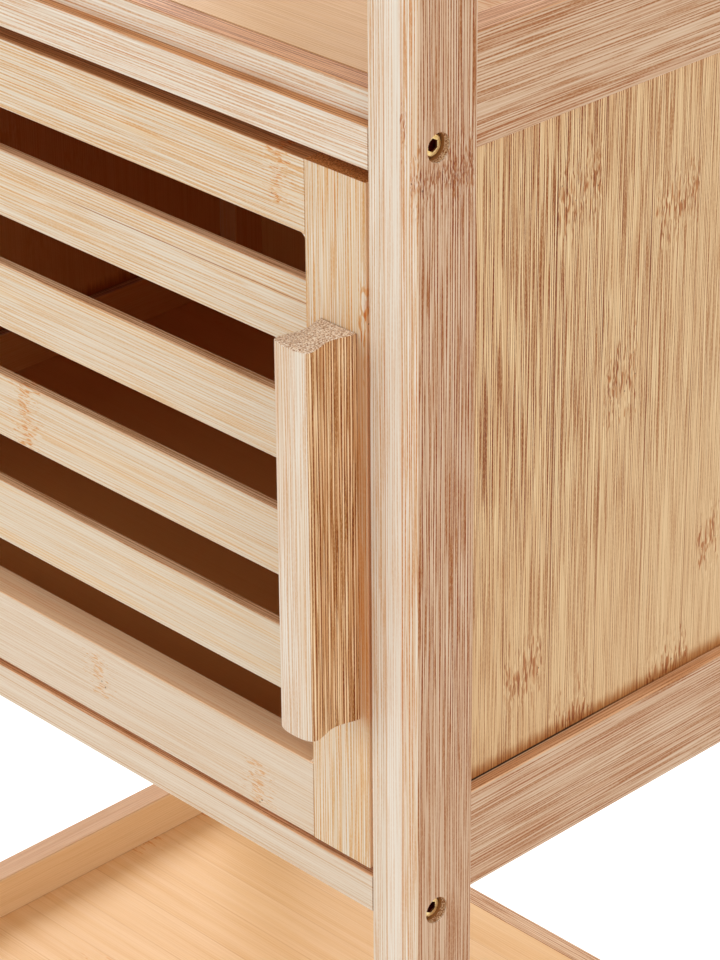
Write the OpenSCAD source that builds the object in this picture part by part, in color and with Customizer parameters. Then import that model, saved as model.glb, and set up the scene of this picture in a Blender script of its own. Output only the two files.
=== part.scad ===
// Bamboo shelf unit: four posts, four levels, and a slatted door on the middle cell.
// Millimetres. The front faces -Y, and the origin is on the floor, below the middle of the whole,
// handle included.
// A corner's own coordinates are u inward from its side face and v inward from its front or back face.

/* [Overall] */
// Width over the posts
unit_w = 410; // [300:1:700]
// Depth over the posts
unit_d = 300; // [220:1:450]
// Floor to the underside of the lowest front rail
foot_h = 40; // [20:1:120]
// Rise from the lowest level to the cabinet floor
lower_pitch = 270; // [180:1:400]
// Rise from the cabinet floor to the cabinet top
cab_pitch = 273.9; // [230:0.1:400]
// Rise from the cabinet top to the top shelf
upper_pitch = 270; // [150:1:400]
// Height of the post ends above the top side rails
post_rise = 3.5; // [0:0.1:40]

/* [Posts] */
// Width of a post's front face
post_w = 22; // [20:0.5:32]
// Depth of a post's side face
post_d = 26; // [25:0.5:40]
// Rounding of the long edges of posts and rails
ease = 1; // [0.4:0.1:2]

/* [Front and back rails] */
// Height of the proud lower bar
nose_h = 14.5; // [12.5:0.1:20]
// Depth of the lower bar, front to back
bar_d = 22; // [21.5:0.5:30]
// Set-back of the strip above the bar
strip_in = 4.5; // [1:0.1:5]

/* [Side rails] */
// Height of a side rail
side_h = 37.9; // [33:0.1:60]
// Thickness of a side rail
side_t = 13; // [12.5:0.5:15]
// Recess of a side rail behind the post's side face
side_in = 2.7; // [1:0.1:4]
// Height of a side rail's underside above the front rail's underside, on the two lower levels
side_up = 6.4; // [5:0.1:8]
// The same height on the two upper levels
side_up_top = 4.7; // [4.5:0.1:8]
// Length of a side rail's tenon
tenon_l = 10; // [5:0.5:10.5]
// Shoulder beside and above a tenon
shoulder = 2.5; // [2:0.1:3]

/* [Boards and panels] */
// Thickness of a shelf board
board_t = 10; // [8:0.5:15]
// Depth of the groove that holds a board in a side rail
board_bite = 4; // [2:0.5:4]
// Thickness of a side or back panel
panel_t = 4; // [3:0.5:4]
// Recess of a side panel behind the side rail's outer face
panel_in = 5; // [4:0.1:5]
// Recess of the back panel behind the posts' back face
back_in = 6.5; // [5:0.1:8]
// Depth of a panel's groove
panel_bite = 5; // [3:0.5:5]
// Free space at the bottom of a groove or mortise
groove_gap = 0.5; // [0.1:0.1:0.8]

/* [Door] */
// Thickness of the door frame
door_t = 13; // [12:0.5:13.5]
// Recess of the door behind the posts' front face
door_in = 1; // [0.5:0.1:2]
// Gap beside the door
door_gap = 2; // [1.9:0.1:3]
// Gap under the door
gap_under = 2; // [1:0.1:5]
// Gap over the door
gap_over = 4.8; // [2:0.1:8]
// Gap between the closed door and its stop
stop_gap = 0.3; // [0.1:0.1:0.8]
// Width of a stile
stile_w = 27.6; // [24:0.1:40]
// Height of the top rail
top_rail_h = 25.7; // [18:0.1:40]
// Height of the bottom rail
bottom_rail_h = 29.7; // [18:0.1:40]
// Height of a slat
slat_h = 25.4; // [15:0.1:30]
// Thickness of a slat
slat_t = 5; // [3:0.5:6]
// Set-back of the slats behind the frame's face
slat_in = 4.5; // [3.5:0.1:5]
// Length of a slat's end inside a stile
slat_bite = 6; // [3:0.5:8]
// Length of a door rail's tenon
door_tenon = 12; // [6:0.5:12]
// Wood left all round a door rail's tenon
door_wall = 3; // [2:0.1:4]
// Rounding of the door frame's long edges
door_ease = 0.5; // [0.2:0.1:1]
// Rounding of the slats' long edges
slat_ease = 1; // [0.4:0.1:1.4]
// Rounding in the corners of the slatted opening
corner_r = 3; // [1:0.5:6]

/* [Handle] */
// Length of the handle
handle_l = 142.5; // [120:0.5:180]
// Spacing of the handle's two screws
handle_holes = 96; // [64:1:110]
// Height of the handle's middle above the door's middle
handle_up = 2.5; // [0:0.1:20]
// Distance of the handle's middle from the door's edge
handle_in = 12.4; // [12:0.1:15]
// How far the handle stands out from the door
handle_out = 22.9; // [21:0.1:30]
// Mean half width between foot and waist
handle_half = 7.1; // [6:0.1:9]
// How far the sides swing in and out from the mean
handle_swing = 1; // [0.3:0.1:1.6]
// Depth of the rounded front
nose_d = 3.5; // [2:0.1:6]
// Squareness of the rounded front, 2 is an ellipse
nose_power = 2.4; // [2:0.1:4]

/* [Hinges] */
// Height of a hinge
hinge_h = 40; // [30:1:50]
// Distance from the door's end to the near end of a hinge
hinge_end = 30; // [30:1:60]
// Thickness of a leaf
leaf_t = 0.9; // [0.6:0.1:0.9]
// Outer radius of the knuckle
knuckle_r = 2.4; // [2:0.1:2.8]
// Radius of the hinge pin
pin_r = 1.2; // [0.8:0.1:1.3]
// Reach of a leaf behind the post's front face
leaf_d = 12; // [9:0.5:13]
// Distance of the outer screws from a leaf's ends
leaf_screw_end = 6; // [4:0.5:10]

/* [Catch] */
// Height of the catch body
catch_h = 36; // [30:1:50]
// Width of the catch body
catch_w = 12; // [10:0.5:16]
// Distance of the catch's screws from its ends
catch_screw_end = 5; // [4:0.5:7]
// Height of the magnet
magnet_h = 13; // [8:1:15]
// Depth of the magnet
magnet_d = 6; // [4:0.5:7]
// Distance from the cabinet top rail down to the catch body
catch_down = 32; // [28:1:60]
// Width of the strike plate
strike_w = 10; // [8:0.5:14]
// Thickness of the strike plate
strike_t = 1.2; // [0.8:0.1:1.5]
// Air gap between magnet and strike plate
magnet_gap = 0.3; // [0.2:0.1:0.5]

/* [Fasteners] */
// Distance from the post's front or back face to its bolts
bolt_v = 8.9; // [8:0.1:9.8]
// Height of a bolt above the underside of a stepped rail
bolt_up = 11.6; // [10:0.1:12]
// Radius of the bolt head
head_r = 4; // [3.5:0.1:4.4]
// Height of the bolt head
head_h = 5; // [3:0.5:6]
// Depth of the bolt head below the wood
head_sunk = 2.6; // [1:0.1:4]
// Radius of the counterbore
mouth_r = 4.9; // [4.8:0.1:5.6]
// Radius of the bolt's shank
shank_r = 2.5; // [2:0.1:2.8]
// Width of the hex socket across its flats
hex_w = 4; // [3:0.5:5]
// Outer radius of a threaded insert
insert_r = 4; // [3.8:0.1:4.7]
// Length of a threaded insert
insert_l = 13; // [10:1:20]
// Radius of an alignment dowel
dowel_r = 2.5; // [2:0.1:3]
// Height of a dowel above the underside of its rail
dowel_up = 6.7; // [6:0.1:7]
// Distance from the post's front or back face to its dowels
dowel_v = 18; // [16.5:0.1:18.5]
// Length of a dowel on each side of its joint
dowel_half = 8; // [5:0.5:8]
// Radius of a wood screw's shank
screw_r = 1.2; // [1:0.1:1.4]
// Radius of a wood screw's head
screw_head_r = 2.2; // [1.8:0.1:2.4]
// Length of a wood screw in the wood
screw_l = 8; // [6:0.5:8]
// Radius of a foot glide
glide_r = 9; // [6:0.5:10]
// Height of a foot glide below the post
glide_h = 4; // [2:0.5:8]
// Length of a foot glide's pin
glide_pin_l = 12; // [8:1:20]

/* [Hidden] */
$fn = 48;

// Colours
bamboo = "burlywood";
bamboo_dark = "tan";
bolt_metal = "darkkhaki";
hinge_metal = "silver";

// Clearance around a screw, bolt, dowel or insert, and between a hinge pin and its knuckles
bore_gap = 0.05;
// Clearance of a bolt's shank in its post
bolt_hole_gap = 0.4;
// Clearance of a board's notch around a post and in its groove
board_gap = 0.2;
// Overlap that makes a cut run clear through a face
cut = 1;

// Levels, from the bottom shelf to the top shelf, by the underside of the front rail
LEVELS = [0, 1, 2, 3];
CABINET_FLOOR = 1;
CABINET_TOP = 2;
level_z = [
    foot_h,
    foot_h + lower_pitch,
    foot_h + lower_pitch + cab_pitch,
    foot_h + lower_pitch + cab_pitch + upper_pitch
];
unit_h = level_z[3] + side_up_top + side_h + post_rise;
cell_w = unit_w - 2 * post_w;
// Half of the handle's reach in front of the posts
centre_y = (handle_out - door_in) / 2;

// Corners, as the signs of X and Y
CORNERS = [[-1, -1], [1, -1], [-1, 1], [1, 1]];

// Door, with one node to each slat
slats = 4;
door_back = door_in + door_t;
board_v = door_back + stop_gap;
door_z0 = level_z[CABINET_FLOOR] + nose_h + gap_under;
door_z1 = level_z[CABINET_TOP] - gap_over;
door_h = door_z1 - door_z0;
door_w = cell_w - 2 * door_gap;
opening_h = door_h - top_rail_h - bottom_rail_h;
slat_gap = (opening_h - slats * slat_h) / (slats + 1);

// Handle
handle_z = (door_z0 + door_z1) / 2 + handle_up;
handle_u = post_w + door_gap + handle_in;
handle_side_d = handle_out - nose_d;
handle_side_steps = 24;
handle_nose_steps = 20;
handle_screw_r = 2;
handle_screw_head_r = 3.6;
handle_screw_head_h = 2.2;
handle_screw_in = 12;
handle_screw_z = handle_holes / 2;

// Hinges: the axis stands just in front of the posts, over the gap beside the door
hinge_u = post_w + door_gap / 2;
knuckle_front_gap = 0.1;
hinge_v = -knuckle_r - knuckle_front_gap;
knuckles = 5;
knuckle_gap = 0.1;
leaf_sweep_gap = 0.15;
hinge_z = [door_z1 - hinge_end - hinge_h, door_z0 + hinge_end];
hinge_screw_v = leaf_d / 2;
hinge_screw_z = [leaf_screw_end, hinge_h / 2, hinge_h - leaf_screw_end];
screw_head_h = 1.2;
pin_head_in = 0.5;
pin_head_r = knuckle_r - pin_head_in;
pin_head_h = 1.2;

// Catch
catch_proud = 0.5;
catch_v = door_back + strike_t + magnet_gap + catch_proud;
catch_z = level_z[CABINET_TOP] - catch_down - catch_h;
catch_screw_z = [catch_screw_end, catch_h - catch_screw_end];
magnet_wall = 2;
strike_side = 1;

// Fasteners
head_top_h = 0.6;
socket_d = 2.5;
insert_room = 1;
bolt_l = post_w + insert_l - insert_room - head_sunk - head_h;
glide_pin_r = 1.5;
glide_foot_r = glide_r - 1;

// A rectangle with rounded corners, from the origin
module eased_rect(a, b, r) {
    translate([r, 0]) square([a - 2 * r, b]);
    translate([0, r]) square([a, b - 2 * r]);
    for (x = [r, a - r], y = [r, b - r]) translate([x, y]) circle(r);
}

// A bar along X, Y or Z whose four long edges are rounded, from the origin
module bar_x(s, r) rotate([90, 0, 90]) linear_extrude(s[0]) eased_rect(s[1], s[2], r);
module bar_y(s, r) translate([0, s[1], 0]) rotate([90, 0, 0]) linear_extrude(s[1]) eased_rect(s[0], s[2], r);
module bar_z(s, r) linear_extrude(s[2]) eased_rect(s[0], s[1], r);

// A cylinder along +X or +Y, from the origin
module rod_x(r, l) rotate([0, 90, 0]) cylinder(r = r, h = l);
module rod_y(r, l) rotate([-90, 0, 0]) cylinder(r = r, h = l);

// Children in the coordinates of one corner
module corner(sx, sy) {
    translate([0, centre_y, 0]) mirror([sx > 0 ? 1 : 0, 0, 0]) mirror([0, sy > 0 ? 1 : 0, 0])
        translate([-unit_w / 2, -unit_d / 2, 0]) children();
}

// Height of a level's bolts, lower on the plain bar under the door
function bolt_z(level, sy) =
    level_z[level] + (level == CABINET_FLOOR && sy < 0 ? nose_h / 2 : bolt_up);
function dowel_z(level) = level_z[level] + dowel_up;
function side_z(level) = level_z[level] + (level < CABINET_TOP ? side_up : side_up_top);

// Posts
module post(sx, sy) {
    color(bamboo) corner(sx, sy) difference() {
        translate([0, 0, glide_h]) bar_z([post_w, post_d, unit_h - glide_h], ease);
        for (level = LEVELS) {
            bolt_cuts(bolt_z(level, sy));
            dowel_hole(level);
            mortise(side_z(level));
        }
        side_panel_groove();
        if (sy > 0) back_panel_groove();
        if (sx < 0 && sy < 0) hinge_post_pilots();
        if (sx > 0 && sy < 0) catch_pilots();
        translate([post_w / 2, post_d / 2, glide_h - cut])
            cylinder(r = glide_pin_r + bore_gap, h = cut + glide_pin_l + groove_gap);
    }
}

// Counterbore and shank hole from the post's side face, and the dowel hole below
module bolt_cuts(z) {
    translate([-cut, bolt_v, z]) {
        rod_x(mouth_r, cut + head_sunk + head_h);
        rod_x(shank_r + bolt_hole_gap, cut + post_w + cut);
    }
}

module dowel_hole(level) translate([post_w - dowel_half - groove_gap, dowel_v, dowel_z(level)])
    rod_x(dowel_r + bore_gap, 2 * (dowel_half + groove_gap));

module tenon(z, length) {
    translate([side_in + shoulder, post_d - length, z + 2 * shoulder])
        cube([side_t - 2 * shoulder, length + cut, side_h - 4 * shoulder]);
}
module mortise(z) tenon(z, tenon_l + groove_gap);

// Space that a panel and its grooves take, grown by its free space at the edges
module side_panel_room(room) {
    z0 = side_z(CABINET_FLOOR) + side_h - panel_bite + groove_gap - room;
    z1 = side_z(CABINET_TOP) + panel_bite - groove_gap + room;
    v0 = post_d - panel_bite + groove_gap - room;
    translate([side_in + panel_in, v0, z0]) cube([panel_t, unit_d - 2 * v0, z1 - z0]);
}
module side_panel_groove() side_panel_room(groove_gap);

module back_panel_room(room) {
    z0 = level_z[CABINET_FLOOR] + nose_h + board_t - panel_bite + groove_gap - room;
    z1 = level_z[CABINET_TOP] + panel_bite - groove_gap + room;
    u0 = post_w - panel_bite + groove_gap - room;
    translate([u0, back_in, z0]) cube([unit_w - 2 * u0, panel_t, z1 - z0]);
}
module back_panel_groove() back_panel_room(groove_gap);

// Side rails, with a groove for the board and, beside the cabinet, one for the panel
module side_rail(sx, level) {
    color(bamboo_dark) corner(sx, -1) difference() {
        union() {
            translate([side_in, post_d, side_z(level)])
                bar_y([side_t, unit_d - 2 * post_d, side_h], ease);
            tenon(side_z(level), tenon_l);
            translate([0, unit_d, 0]) mirror([0, 1, 0]) tenon(side_z(level), tenon_l);
        }
        translate([side_in + side_t - board_bite, post_d, level_z[level] + nose_h])
            cube([board_bite + cut, unit_d - 2 * post_d, board_t + board_gap]);
        if (level == CABINET_FLOOR || level == CABINET_TOP) side_panel_groove();
    }
}

// Front and back rails: a proud bar, and a set-back strip in front of the board
module cross_rail(sy, level) {
    stepped = !(level == CABINET_FLOOR && sy < 0);
    color(bamboo) corner(-1, sy) difference() {
        translate([post_w, 0, level_z[level]]) {
            bar_x([cell_w, bar_d, nose_h], ease);
            if (stepped) translate([0, strip_in, nose_h - 2 * ease])
                bar_x([cell_w, board_v - strip_in, board_t + 2 * ease], ease);
        }
        for (side = [0, 1]) translate([side * unit_w, 0, 0]) mirror([side, 0, 0]) {
            translate([post_w - cut, bolt_v, bolt_z(level, sy)])
                rod_x(insert_r + bore_gap, cut + insert_l + insert_room);
            dowel_hole(level);
        }
        if (sy > 0 && (level == CABINET_FLOOR || level == CABINET_TOP)) back_panel_groove();
    }
}

// Shelf boards, notched around the posts and let into the side rails
module board(level) {
    u0 = side_in + side_t - board_bite;
    notch_u = post_w + board_gap;
    notch_v = post_d + board_gap;
    color(bamboo_dark) corner(-1, -1) translate([0, 0, level_z[level] + nose_h]) difference() {
        translate([u0, board_v, 0]) cube([unit_w - 2 * u0, unit_d - 2 * board_v, board_t]);
        for (u = [-cut, unit_w - notch_u], v = [-cut, unit_d - notch_v])
            translate([u, v, -cut]) cube([notch_u + cut, notch_v + cut, board_t + 2 * cut]);
    }
}

// Panels
module side_panel(sx) color(bamboo_dark) corner(sx, -1) side_panel_room(0);
module back_panel() color(bamboo_dark) corner(-1, 1) back_panel_room(0);

// Door stiles, mortised for the rails and the slats
module door_stile(sx) {
    color(bamboo) corner(sx, -1) difference() {
        translate([post_w + door_gap, door_in, door_z0]) bar_z([stile_w, door_t, door_h], door_ease);
        door_rail_tenon(door_z0, bottom_rail_h, groove_gap);
        door_rail_tenon(door_z1 - top_rail_h, top_rail_h, groove_gap);
        for (i = [0 : slats - 1]) slat_bar(i, groove_gap);
        if (sx < 0) hinge_door_pilots();
        if (sx > 0) {
            strike_pilots();
            handle_screw_set(bore_gap);
        }
    }
}

// A bar across the opening whose ends reach into both stiles
module across(bite, v, z, depth, height, r) {
    u0 = post_w + door_gap + stile_w - bite;
    translate([u0, v, z]) bar_x([unit_w - 2 * u0, depth, height], r);
}
module door_rail_tenon(z, height, room)
    across(door_tenon + room, door_in + door_wall, z + door_wall,
        door_t - 2 * door_wall, height - 2 * door_wall, door_ease);
module slat_bar(i, room)
    across(slat_bite + room, door_in + slat_in,
        door_z0 + bottom_rail_h + slat_gap + i * (slat_h + slat_gap), slat_t, slat_h, slat_ease);

// A door rail, with a rounded corner of the opening at each end; up is the side of the opening
module door_rail(z, height, up) {
    edge = up > 0 ? z + height : z;
    color(bamboo) corner(-1, -1) {
        across(0, door_in, z, door_t, height, door_ease);
        door_rail_tenon(z, height, 0);
        for (side = [0, 1]) translate([side * unit_w, 0, 0]) mirror([side, 0, 0])
            translate([post_w + door_gap + stile_w, door_in, edge])
                mirror([0, 0, up > 0 ? 0 : 1]) opening_corner();
    }
}
module opening_corner() {
    root = 2 * door_ease;
    translate([0, door_t - door_ease, 0]) rotate([90, 0, 0]) linear_extrude(door_t - 2 * door_ease)
        difference() {
            translate([0, -root]) square([corner_r, corner_r + root]);
            translate([corner_r, corner_r]) circle(corner_r);
        }
}
module door_slat(n) color(bamboo) corner(-1, -1) slat_bar(slats - n, 0);

// Handle: sides that swing in to a waist, and a rounded front
function handle_half_at(out) = handle_half + handle_swing * cos(360 * out / handle_side_d);
function nose_point(t) = [
    (handle_half + handle_swing) * pow(cos(t), 2 / nose_power),
    handle_side_d + nose_d * pow(sin(t), 2 / nose_power)
];
handle_edge = concat(
    [for (i = [0 : handle_side_steps - 1])
        let (out = handle_side_d * i / handle_side_steps) [handle_half_at(out), out]],
    [for (i = [0 : handle_nose_steps - 1]) nose_point(90 * i / handle_nose_steps)]
);
handle_outline = concat(
    handle_edge,
    [[0, handle_out]],
    [for (i = [len(handle_edge) - 1 : -1 : 0]) [-handle_edge[i][0], handle_edge[i][1]]]
);
module door_handle() {
    color(bamboo_dark) corner(1, -1) difference() {
        translate([handle_u, door_in, handle_z - handle_l / 2])
            mirror([0, 1, 0]) linear_extrude(handle_l) polygon(handle_outline);
        handle_screw_set(bore_gap);
    }
}

// Handle screws, entering from the back of the stile; room makes their holes
module handle_screw_set(room) {
    for (z = [handle_z - handle_screw_z, handle_z + handle_screw_z])
        translate([handle_u, door_back, z]) mirror([0, 1, 0]) {
            translate([0, room > 0 ? -cut : 0, 0])
                rod_y(handle_screw_head_r + room, handle_screw_head_h + (room > 0 ? cut : 0));
            rod_y(handle_screw_r + room, door_t + handle_screw_in + (room > 0 ? groove_gap : 0));
        }
}
module handle_screws() {
    color(hinge_metal) corner(1, -1) difference() {
        handle_screw_set(0);
        for (z = [handle_z - handle_screw_z, handle_z + handle_screw_z])
            translate([handle_u, door_back, z]) rotate([0, 0, -90]) cross_slot(handle_screw_head_r);
    }
}

// A countersunk screw along +X with its head's face at the origin; room makes its hole
module wood_screw(length, room) {
    rotate([0, 90, 0]) {
        cylinder(r1 = screw_head_r + room, r2 = screw_r + room, h = screw_head_h);
        cylinder(r = screw_r + room, h = length + (room > 0 ? groove_gap : 0));
        if (room > 0) translate([0, 0, -cut]) cylinder(r = screw_head_r + room, h = cut);
    }
}
module screw(length) {
    difference() {
        wood_screw(length, 0);
        cross_slot(screw_head_r);
    }
}

// The cross in a screw's head, for a screw along +X
module cross_slot(head) {
    long = head * 1.1;
    wide = head * 0.22;
    for (turn = [0, 90]) rotate([turn, 0, 0])
        translate([-cut, -wide / 2, -long / 2]) cube([cut + screw_head_h / 2, wide, long]);
}

// Hinges, on an axis at the origin, with u along X and v along Y
module at_hinge(i) corner(-1, -1) translate([hinge_u, hinge_v, hinge_z[i]]) children();
module at_hinge_screws(sx) for (z = hinge_screw_z)
    translate([sx * (door_gap / 2 - leaf_t), hinge_screw_v - hinge_v, z]) mirror([sx < 0 ? 1 : 0, 0, 0]) children();
module knuckle_ring(k, r, gap) {
    step = hinge_h / knuckles;
    low = k == 0 ? 0 : gap;
    high = k == knuckles - 1 ? 0 : gap;
    translate([0, 0, k * step + low]) cylinder(r = r, h = step - low - high);
}
module hinge_leaf(i, sx) {
    own = sx < 0 ? [0, 2, 4] : [1, 3];
    other = sx < 0 ? [1, 3] : [0, 2, 4];
    color(hinge_metal) at_hinge(i) difference() {
        union() {
            translate([sx < 0 ? -door_gap / 2 : door_gap / 2 - leaf_t, 0, 0])
                cube([leaf_t, leaf_d - hinge_v, hinge_h]);
            for (k = own) knuckle_ring(k, knuckle_r, knuckle_gap);
        }
        for (k = other) knuckle_ring(k, knuckle_r + leaf_sweep_gap, 0);
        translate([0, 0, -cut]) cylinder(r = pin_r + bore_gap, h = hinge_h + 2 * cut);
        at_hinge_screws(sx) wood_screw(screw_l, bore_gap);
    }
}
module hinge_pin(i) {
    color(hinge_metal) at_hinge(i) {
        cylinder(r = pin_r, h = hinge_h);
        translate([0, 0, hinge_h]) cylinder(r = pin_head_r, h = pin_head_h);
        translate([0, 0, -pin_head_h]) cylinder(r = pin_head_r, h = pin_head_h);
    }
}
module hinge_screws(sx) color(hinge_metal) for (i = [0, 1]) at_hinge(i) at_hinge_screws(sx) screw(screw_l);

// The same holes, for use in a corner's own coordinates
module hinge_pilots(sx) for (i = [0, 1]) translate([hinge_u, hinge_v, hinge_z[i]])
    at_hinge_screws(sx) wood_screw(screw_l, bore_gap);
module hinge_post_pilots() hinge_pilots(-1);
module hinge_door_pilots() hinge_pilots(1);

// Magnetic catch on the post, and its strike plate on the back of the handle stile
module at_catch_screws() for (z = catch_screw_z)
    translate([post_w + catch_w, (catch_v + post_d) / 2, catch_z + z]) mirror([1, 0, 0]) children();
module catch_pilots() at_catch_screws() wood_screw(catch_w + screw_l, bore_gap);
module magnet_block(room) translate([post_w + magnet_wall, catch_v - catch_proud, catch_z + (catch_h - magnet_h) / 2])
    cube([catch_w - 2 * magnet_wall, magnet_d + room, magnet_h]);
module catch_body() {
    color("white") corner(1, -1) difference() {
        translate([post_w, catch_v, catch_z]) cube([catch_w, post_d - catch_v, catch_h]);
        magnet_block(groove_gap);
        catch_pilots();
    }
}
module catch_magnet() color("dimgray") corner(1, -1) magnet_block(0);
module catch_screws() color(hinge_metal) corner(1, -1) at_catch_screws() screw(catch_w + screw_l);

module at_strike_screws() for (z = catch_screw_z)
    translate([post_w + door_gap + strike_side + strike_w / 2, door_back + strike_t, catch_z + z])
        rotate([0, 0, -90]) children();
module strike_pilots() at_strike_screws() wood_screw(strike_t + screw_l, bore_gap);
module strike_plate() {
    color(hinge_metal) corner(1, -1) difference() {
        translate([post_w + door_gap + strike_side, door_back, catch_z])
            cube([strike_w, strike_t, catch_h]);
        strike_pilots();
    }
}
module strike_screws() color(hinge_metal) corner(1, -1) at_strike_screws() screw(strike_t + screw_l);

// Fasteners of the frame, one at each end of every front and back rail
module at_bolts() for (c = CORNERS, level = LEVELS)
    corner(c[0], c[1]) translate([head_sunk, bolt_v, bolt_z(level, c[1])]) children();
module frame_bolts() color(bolt_metal) at_bolts() difference() {
    rotate([0, 90, 0]) {
        cylinder(r1 = head_r - head_top_h, r2 = head_r, h = head_top_h);
        translate([0, 0, head_top_h]) cylinder(r = head_r, h = head_h - head_top_h);
        cylinder(r = shank_r, h = head_h + bolt_l);
    }
    translate([-cut, 0, 0]) rotate([0, 90, 0]) cylinder(r = hex_w / sqrt(3), h = cut + socket_d, $fn = 6);
}
module threaded_inserts() color(bolt_metal) at_bolts() translate([post_w - head_sunk, 0, 0]) difference() {
    rod_x(insert_r, insert_l);
    translate([-cut, 0, 0]) rod_x(shank_r + bore_gap, insert_l + 2 * cut);
}
module alignment_dowels() color(bamboo) for (c = CORNERS, level = LEVELS)
    corner(c[0], c[1]) translate([post_w - dowel_half, dowel_v, dowel_z(level)]) rod_x(dowel_r, 2 * dowel_half);
module foot_glides() color("white") for (c = CORNERS)
    corner(c[0], c[1]) translate([post_w / 2, post_d / 2, 0]) {
        cylinder(r1 = glide_foot_r, r2 = glide_r, h = glide_h / 2);
        translate([0, 0, glide_h / 2]) cylinder(r = glide_r, h = glide_h / 2);
        cylinder(r = glide_pin_r, h = glide_h + glide_pin_l);
    }

post(-1, -1);  // post_front_left
post(1, -1);  // post_front_right
post(-1, 1);  // post_back_left
post(1, 1);  // post_back_right
side_rail(-1, 0);  // side_rail_left_1
side_rail(-1, 1);  // side_rail_left_2
side_rail(-1, 2);  // side_rail_left_3
side_rail(-1, 3);  // side_rail_left_4
side_rail(1, 0);  // side_rail_right_1
side_rail(1, 1);  // side_rail_right_2
side_rail(1, 2);  // side_rail_right_3
side_rail(1, 3);  // side_rail_right_4
cross_rail(-1, 0);  // front_rail_1
cross_rail(-1, 1);  // front_rail_2
cross_rail(-1, 2);  // front_rail_3
cross_rail(-1, 3);  // front_rail_4
cross_rail(1, 0);  // back_rail_1
cross_rail(1, 1);  // back_rail_2
cross_rail(1, 2);  // back_rail_3
cross_rail(1, 3);  // back_rail_4
board(0);  // bottom_shelf
board(1);  // cabinet_floor
board(2);  // cabinet_top
board(3);  // top_shelf
side_panel(-1);  // side_panel_left
side_panel(1);  // side_panel_right
back_panel();
door_stile(-1);  // door_hinge_stile
door_stile(1);  // door_handle_stile
door_rail(door_z1 - top_rail_h, top_rail_h, -1);  // door_top_rail
door_rail(door_z0, bottom_rail_h, 1);  // door_bottom_rail
door_slat(1);  // door_slat_1
door_slat(2);  // door_slat_2
door_slat(3);  // door_slat_3
door_slat(4);  // door_slat_4
door_handle();
handle_screws();
hinge_leaf(0, -1);  // hinge_upper_post_leaf
hinge_leaf(0, 1);  // hinge_upper_door_leaf
hinge_pin(0);  // hinge_upper_pin
hinge_leaf(1, -1);  // hinge_lower_post_leaf
hinge_leaf(1, 1);  // hinge_lower_door_leaf
hinge_pin(1);  // hinge_lower_pin
hinge_screws(-1);  // hinge_post_screws
hinge_screws(1);  // hinge_door_screws
catch_body();
catch_magnet();
catch_screws();
strike_plate();
strike_screws();
frame_bolts();
threaded_inserts();
alignment_dowels();
foot_glides();
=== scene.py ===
"""Looks, light and camera of a free-standing bamboo shelf unit with a slatted cabinet door.

Sizes and places are in mm, apart from the floor, the lamps and the camera, which are in metres.
"""
import math

import bpy
from mathutils import Matrix, Vector


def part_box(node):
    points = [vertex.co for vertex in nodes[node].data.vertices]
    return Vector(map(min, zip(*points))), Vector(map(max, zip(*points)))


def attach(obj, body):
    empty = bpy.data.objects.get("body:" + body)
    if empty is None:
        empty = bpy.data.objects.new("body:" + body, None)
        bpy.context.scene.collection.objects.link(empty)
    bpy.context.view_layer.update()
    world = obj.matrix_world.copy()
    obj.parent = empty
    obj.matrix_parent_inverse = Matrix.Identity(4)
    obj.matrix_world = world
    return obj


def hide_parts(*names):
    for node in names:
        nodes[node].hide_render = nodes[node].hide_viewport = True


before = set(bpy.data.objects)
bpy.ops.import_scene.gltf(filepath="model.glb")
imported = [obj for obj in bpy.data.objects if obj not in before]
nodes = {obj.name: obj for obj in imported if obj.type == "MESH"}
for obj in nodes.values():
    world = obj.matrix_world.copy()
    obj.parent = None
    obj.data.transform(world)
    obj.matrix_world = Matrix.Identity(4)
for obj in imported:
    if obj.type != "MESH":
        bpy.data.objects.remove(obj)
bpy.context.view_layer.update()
scene = bpy.context.scene

X, Y, Z = 0, 1, 2
METRE = 1000.0  # in mm


def corners(name):
    """The lowest and highest corners of a node."""
    return tuple(Vector(corner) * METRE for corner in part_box(name))


# Colours


def linear(red, green, blue):
    """A colour from its display values, 0 to 255."""
    def one(c):
        c /= 255
        return c / 12.92 if c < 0.04 else ((c + 0.055) / 1.055) ** 2.4
    return (one(red), one(green), one(blue), 1.0)


def tones(*colours):
    """Several colours from their display values."""
    return tuple(linear(*colour) for colour in colours)


def tint(dark, ground):
    """What turns the colour ground into dark when Graph.stain lays it on in full."""
    return tuple(min(d / g, 1.0) ** 0.5 for d, g in zip(dark, ground))


# The tones of bamboo on a kind of face: its dark lines, warm areas, ground and light lines
DARK, WARM, GROUND, LIGHT = 0, 1, 2, 3
CREAM = tones((196, 136, 84), (220, 188, 150), (221, 206, 186), (236, 225, 210))
CREAM_LOW = tones((190, 138, 88), (213, 182, 146), (216, 196, 172), (226, 210, 190))
CREAM_WARM = tones((200, 138, 70), (224, 186, 134), (215, 197, 172), (228, 214, 195))
ROSE = tones((126, 48, 0), (196, 148, 110), (203, 166, 134), (220, 194, 165))
HONEY = tones((112, 38, 0), (206, 158, 106), (216, 178, 131), (240, 214, 168))
TAN = tones((140, 78, 32), (196, 148, 104), (206, 168, 132), (232, 204, 172))
# LEDGE and LEDGE_PALE: ledges and top faces of rails and slats, lightened as painted light against
# their shade
LEDGE = tones((160, 92, 44), (214, 152, 102), (228, 174, 128), (242, 202, 162))
LEDGE_PALE = tones((170, 104, 54), (226, 168, 116), (240, 190, 144), (250, 214, 176))
AMBER = tones((108, 40, 0), (190, 130, 76), (206, 156, 106), (244, 218, 178))
PALE = tones((214, 160, 110), (240, 206, 166), (244, 214, 176), (250, 226, 194))
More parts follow.
